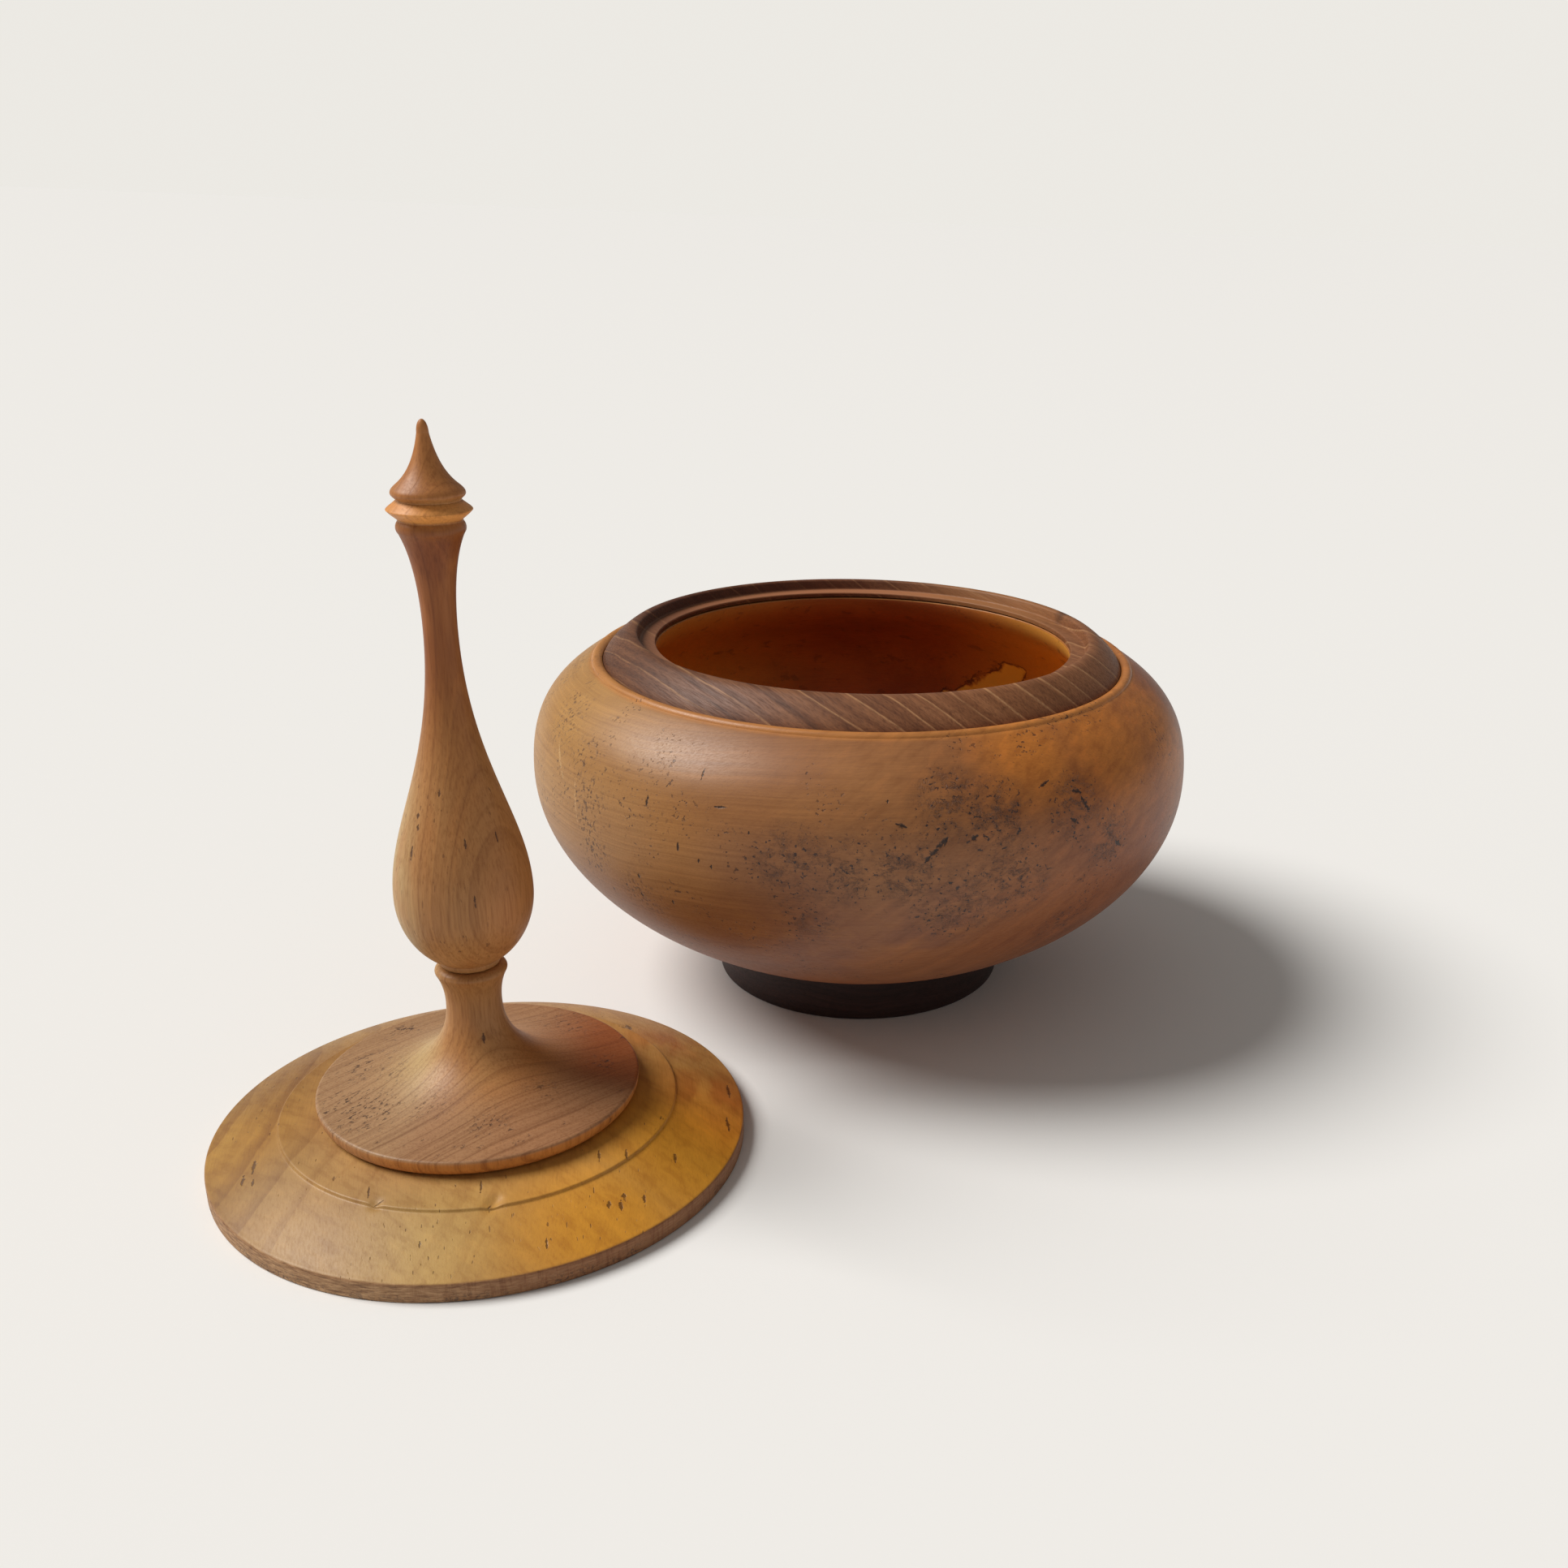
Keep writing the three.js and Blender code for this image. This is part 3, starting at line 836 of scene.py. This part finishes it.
def lid_figure(wood, colour, fibres):
    """Adds a wide curved growth figure, and soft mottling that runs across it."""
    bend = wood.math("POWER", wood.math("DIVIDE", wood.away, 60), 2.0)
    figure = wood.math("ADD", wood.across, wood.times(bend, 14.0))
    figure = wood.math("ADD", figure, wood.times(wood.noise(wood.place(size=(26, 40, 26)), detail=2), 14.0))
    layers = wood.noise(wood.level_vector(figure, 3.6), detail=3, rough=0.6)
    colour = wood.shade(wood.between(layers, 0.50, 0.66, 0, 0.55), colour, (0.82, 0.74, 0.66))
    lines = growth_lines(wood, through_layer(wood, figure, spacing=9.5), softness=0.4)
    side = wood.between(wood.across, -14, -28, 0.15, 1.0)
    colour = wood.shade(wood.times(lines, side, 0.6), colour, (0.68, 0.58, 0.50))
    mottle = wood.noise(wood.place(turn=35, size=(6, 2.0, 4)), detail=3, rough=0.6)
    colour = wood.shade(wood.between(mottle, 0.48, 0.66, 0, 0.8), colour, (0.84, 0.78, 0.72))
    colour = wood.shade(wood.between(mottle, 0.46, 0.32, 0, 0.5), colour, (1.16, 1.16, 1.14))
    return wood.shade(wood.between(fibres, 0.44, 0.75, 0, 0.6), colour, (0.80, 0.72, 0.64))


def lid_marks(wood):
    """Dark marks along the fibre, and splits in the step."""
    return wood.most(
        *(wood.tick(*place) for place in LID_TICKS),
        wood.mark(spot(-103.6, 35.5, 8.4), spot(-101.6, 34.0, 9.1), 0.22, ragged=0.2),
        wood.mark(spot(-73.0, 35.6, 8.4), spot(-69.8, 33.2, 9.2), 0.3, ragged=0.2),
        wood.mark(spot(53.0, 35.8, 8.2), spot(57.5, 37.6, 7.7), 0.8),
        wood.mark(spot(56.0, 34.6, 8.9), spot(51.0, 35.4, 8.4), 0.6),
    )


def lid_edge(wood, streaks):
    """The sawn edge: browner, with level streaks, and grey grit that thickens along its foot as painted
    shadow under the edge.
    """
    grit = wood.noise(wood.place(size=(0.7, 0.7, 0.5)), detail=3, rough=0.7)
    colour = wood.tones(streaks, (0.32, 116, 82, 54), (0.50, 164, 124, 86), (0.68, 196, 156, 114))
    colour = wood.mix(wood.between(wood.across, -5, 30, 0, 0.7), colour, linear(152, 98, 62))
    stain = wood.noise(wood.place(size=(10, 10, 10)), detail=3, rough=0.6)
    # Grey grit, thickest at the foot of the edge, where it is also painted shadow
    grit_and_shadow = wood.times(wood.between(grit, 0.50, 0.62), wood.between(wood.height, 2.6, 0.6, 0.2, 1.0))
    grit_and_shadow = wood.times(grit_and_shadow, wood.between(stain, 0.44, 0.6, 0.25, 1.0))
    colour = wood.mix(wood.times(grit_and_shadow, 0.8), colour, linear(82, 66, 56))
    hatch = wood.noise(wood.place(size=(0.6, 0.6, 5)), detail=3, rough=0.6)
    hatched = wood.times(wood.between(hatch, 0.48, 0.64), wood.between(wood.across, -16, 14))
    colour = wood.shade(wood.times(hatched, 0.8), colour, (0.74, 0.66, 0.60))
    lip = wood.times(wood.between(wood.height, 2.7, 3.3), 0.5)
    return wood.shade(lip, colour, (0.72, 0.62, 0.54)), grit_and_shadow


def lid_maple():
    wood = Wood("golden_maple_wood")
    turn = 90 - LID_FIBRE
    fibres = wood.noise(wood.place(turn=turn, size=(0.35, 6, 0.35)), detail=4, rough=0.65)
    colour = lid_figure(wood, lid_tones(wood), fibres)

    # Short dark dashes along the fibre
    dash_noise = wood.noise(wood.place(turn=turn, size=(0.5, 2.0, 1.2)), detail=1, rough=0.5)
    dash_area = wood.noise(wood.place(size=(12, 12, 12), shift=(5, 9, 0)), detail=2)
    dashes = wood.times(wood.between(dash_noise, 0.71, 0.76), wood.between(dash_area, 0.48, 0.6, 0.12, 1.0))
    marks = lid_marks(wood)
    colour = wood.mix(wood.times(dashes, 0.6), colour, linear(88, 52, 26))
    colour = wood.mix(wood.times(marks, 0.75), colour, linear(70, 38, 20))

    edge = wood.between(wood.height, 3.75, 3.45)
    streaks = wood.noise(wood.place(size=(2.4, 2.4, 0.3)), detail=4, rough=0.65)
    edge_colour, grit_and_shadow = lid_edge(wood, streaks)
    colour = wood.mix(edge, colour, edge_colour)
    roughness = wood.between(fibres, 0.3, 0.7, 0.42, 0.50)
    roughness = wood.math("ADD", roughness, wood.times(edge, 0.2))
    relief = wood.math("ADD", wood.times(fibres, 0.3), wood.times(streaks, edge, 1.4))
    sunk = wood.most(marks, dashes, wood.times(edge, grit_and_shadow))
    relief = wood.math("SUBTRACT", relief, wood.times(sunk, 1.2))
    return wood.finish(colour, roughness, relief, 0.06, specular=0.4)


# Places on the finial's base where the pits gather: angle, radius, height, reach and a weak one's strength
FLANGE_PITS = [
    (-138, 21, 14.5, 12), (-150, 25, 13.8, 8), (-165, 14, 17, 9), (178, 20, 14.5, 10, 0.9),
    (-70, 19, 15, 6, 0.9), (60, 22, 14.5, 9, 0.8), (143, 24, 14, 6), (-30, 15, 16, 5),
    (-108, 15, 16, 6), (14, 22, 14.3, 5),
]


def finial_tones_and_light(wood, flat_part, upright):
    """Tan, paler on the left as painted sheen, redder on the right as painted shade, and darker up the neck.
    """
    broad = wood.noise(wood.place(size=(14, 14, 40)), detail=2)
    colour = wood.tones(broad, (0.34, 168, 116, 66), (0.52, 180, 128, 76), (0.70, 188, 137, 84))
    # Painted sheen on the lit left, paler, and painted shade on the right, redder
    colour = wood.mix(wood.between(wood.across, -2, -10, 0, 0.7), colour, linear(194, 170, 120))
    colour = wood.mix(wood.between(wood.across, 2, 11, 0, 0.6), colour, linear(182, 116, 62))
    neck = wood.times(wood.between(wood.height, 66, 96), wood.between(wood.height, 118, 111))
    colour = wood.mix(wood.times(neck, 0.85), colour, linear(128, 70, 30))
    colour = wood.shade(neck, colour, (1.05, 0.90, 0.58))
    below_rings = wood.times(wood.between(wood.height, 103, 109), wood.between(wood.height, 114.8, 113.6))
    colour = wood.shade(below_rings, colour, (0.84, 0.74, 0.66))
    # Painted highlight: a bright orange band on the middle ring of the spire
    ring_highlight = wood.times(wood.between(wood.height, 114.9, 115.6), wood.between(wood.height, 118.2, 117.6))
    colour = wood.mix(wood.times(ring_highlight, 0.7), colour, linear(238, 162, 84))
    colour = wood.mix(wood.between(wood.height, 118.4, 119.2, 0, 0.6), colour, linear(172, 104, 50))
    colour = wood.mix(wood.times(flat_part, 0.8), colour, linear(160, 120, 87))
    # Painted shadow: the flange darker red-brown on its right side, as the finial's shadow
    finial_shadow = wood.times(wood.between(wood.across, 4, 20), wood.between(wood.away, -6, 3, 0.12, 0.85))
    colour = wood.mix(wood.times(flat_part, finial_shadow), colour, linear(142, 72, 32))
    warm = wood.noise(wood.place(size=(9, 9, 30), shift=(3, 8, 1)), detail=2)
    warm = wood.times(wood.between(warm, 0.48, 0.64), upright, 0.4)
    colour = wood.mix(warm, colour, linear(178, 112, 56))
    edge = wood.times(wood.between(wood.height, 13.45, 12.9), wood.between(wood.height, 9.8, 10.3))
    edge = wood.times(edge, wood.between(wood.across, -16, -4, 0.35, 0.8))
    colour = wood.mix(edge, colour, linear(208, 132, 56))
    oval = wood.times(wood.patch(-34, 11, 50.5, 5.5), wood.between(wood.height, 38, 42), 0.5)
    return wood.shade(oval, colour, (1.3, 1.28, 1.24))


def finial_pits(wood, lines_turn, flat_part):
    """Pits where the upright fibre is cut level."""
    pit_noise = wood.noise(wood.place(turn=lines_turn, size=(0.95, 0.55, 3.0)), detail=3, rough=0.65)
    gather = wood.noise(wood.place(size=(4, 4, 4), shift=(1, 6, 2)), detail=2)
    area = wood.most(wood.patches(FLANGE_PITS), wood.between(gather, 0.6, 0.68, 0, 0.8))
    huddle = wood.noise(wood.place(turn=lines_turn, size=(2.6, 1.4, 4), shift=(6, 1, 0)), detail=2)
    return wood.times(wood.between(pit_noise, 0.55, 0.61), wood.between(huddle, 0.44, 0.54), area, flat_part)


def finial_dashes(wood):
    """Short upright dashes, most of them on the drop."""
    dash_noise = wood.noise(wood.place(size=(0.45, 0.45, 2.4)), detail=1)
    area = wood.between(wood.noise(wood.place(size=(7, 7, 16), shift=(2, 2, 9)), detail=2), 0.44, 0.58)
    on_drop = wood.times(wood.between(wood.height, 38, 42), wood.between(wood.height, 80, 68))
    return wood.times(wood.between(dash_noise, 0.68, 0.73), wood.most(wood.times(area, on_drop), 0.12))


def finial_maple(name, outline, lines_turn, dents):
    """Upright fibre: level cuts show parallel growth lines, and upright ones show long streaks."""
    wood = Wood(name)
    wander = wood.noise(wood.place(turn=lines_turn, size=(20, 12, 60)), detail=2)
    depth = wood.math("ADD", wood.part(wood.place(turn=lines_turn), 1), wood.times(wander, 2.6))
    fibres = wood.noise(wood.place(turn=lines_turn, size=(0.4, 0.4, 9)), detail=4, rough=0.65)
    flat_part = wood.between(wood.height, 19, 14)
    upright = wood.between(wood.height, 15, 20)
    colour = finial_tones_and_light(wood, flat_part, upright)

    # Growth lines: uneven bands, with a thin dark line now and then
    layers = wood.noise(wood.level_vector(depth, 0.95), detail=3, rough=0.65)
    dark_bands = wood.times(wood.between(layers, 0.50, 0.66), wood.between(wood.height, 15, 20, 0.7, 0.45))
    colour = wood.shade(dark_bands, colour, (0.74, 0.67, 0.62))
    colour = wood.shade(wood.between(layers, 0.46, 0.34, 0, 0.5), colour, (1.18, 1.18, 1.16))
    lines = growth_lines(wood, through_layer(wood, depth, spacing=2.6), softness=0.22)
    thin_lines = wood.times(lines, wood.between(wood.height, 15, 20, 0.55, 0.3))
    colour = wood.shade(thin_lines, colour, (0.68, 0.60, 0.54))
    colour = wood.shade(wood.between(fibres, 0.42, 0.70, 0, 0.8), colour, (0.74, 0.66, 0.58))

    pits = finial_pits(wood, lines_turn, flat_part)
    ends = [(outline.at(angle, low), outline.at(angle, high), width) for angle, low, high, width in dents]
    marks = wood.most(*(wood.mark(*dent) for dent in ends))
    colour = wood.mix(wood.times(pits, 0.9), colour, linear(62, 38, 28))
    colour = wood.mix(wood.times(finial_dashes(wood), 0.65), colour, linear(92, 56, 34))
    colour = wood.mix(wood.times(marks, 0.82), colour, linear(66, 38, 26))

    roughness = wood.between(fibres, 0.3, 0.7, 0.42, 0.52)
    relief = wood.math("SUBTRACT", wood.times(fibres, 0.3), wood.times(wood.most(pits, marks), 1.2))
    relief = wood.math("SUBTRACT", relief, wood.times(lines, 0.2))
    return wood.finish(colour, roughness, relief, 0.05, specular=0.36)


# ---- floor, light and camera


def make_floor():
    mesh = bpy.data.meshes.new("floor")
    half = 30.0
    corners = [(-half, -half, 0), (half, -half, 0), (half, half, 0), (-half, half, 0)]
    mesh.from_pydata(corners, [], [(0, 1, 2, 3)])
    floor = bpy.data.objects.new("floor", mesh)
    bpy.context.scene.collection.objects.link(floor)
    material = bpy.data.materials.new("pale_floor")
    material.use_nodes = True
    surface = material.node_tree.nodes["Principled BSDF"]
    surface.inputs["Base Color"].default_value = (0.86, 0.86, 0.85, 1)
    surface.inputs["Roughness"].default_value = 0.9
    surface.inputs["Specular IOR Level"].default_value = 0.1
    mesh.materials.append(material)


def make_light():
    """A window high on the left, and a pale room all round."""
    data = bpy.data.lights.new("window", "SUN")
    data.energy = 3.3
    data.angle = math.radians(32)
    data.color = (1, 0.975, 0.94)
    window = bpy.data.objects.new("window", data)
    towards_light = Vector((-0.66, 0.02, 0.75))
    window.rotation_euler = towards_light.to_track_quat("Z", "Y").to_euler()
    bpy.context.scene.collection.objects.link(window)

    world = bpy.data.worlds.new("room")
    world.use_nodes = True
    nodes = world.node_tree.nodes
    links = world.node_tree.links
    background = nodes["Background"]
    background.inputs["Color"].default_value = (1, 0.96, 0.91, 1)
    background.inputs["Strength"].default_value = 0.22
    seen = nodes.new("ShaderNodeBackground")
    seen.inputs["Color"].default_value = (1, 0.974, 0.920, 1)
    seen.inputs["Strength"].default_value = 0.84
    choose = nodes.new("ShaderNodeMixShader")
    rays = nodes.new("ShaderNodeLightPath")
    links.new(rays.outputs["Is Camera Ray"], choose.inputs[0])
    links.new(background.outputs[0], choose.inputs[1])
    links.new(seen.outputs[0], choose.inputs[2])
    links.new(choose.outputs[0], nodes["World Output"].inputs["Surface"])
    bpy.context.scene.world = world
    bpy.context.scene.view_settings.view_transform = "Standard"


def make_camera():
    """Eye about 33 cm in front of the bowl and 16 cm up, looking down 23 degrees."""
    pitch = math.radians(22.99)
    roll = math.radians(2.30)
    data = bpy.data.cameras.new("camera")
    data.sensor_width = 36
    data.lens = 35.56
    data.shift_x = -0.1004
    data.shift_y = 0.0561
    camera = bpy.data.objects.new("camera", data)
    place = BOWL_AXIS + Vector((18.8, -330.6, 162.4)) * MM
    look = Matrix.Rotation(math.pi / 2 - pitch, 4, "X") @ Matrix.Rotation(roll, 4, "Z")
    camera.matrix_world = Matrix.Translation(place) @ look
    bpy.context.scene.collection.objects.link(camera)
    bpy.context.scene.camera = camera


make_camera()
make_light()
make_floor()
make_bowl()
make_rim_ring()
make_foot()
make_lid_disc()
make_finial_base()
make_finial_spire()
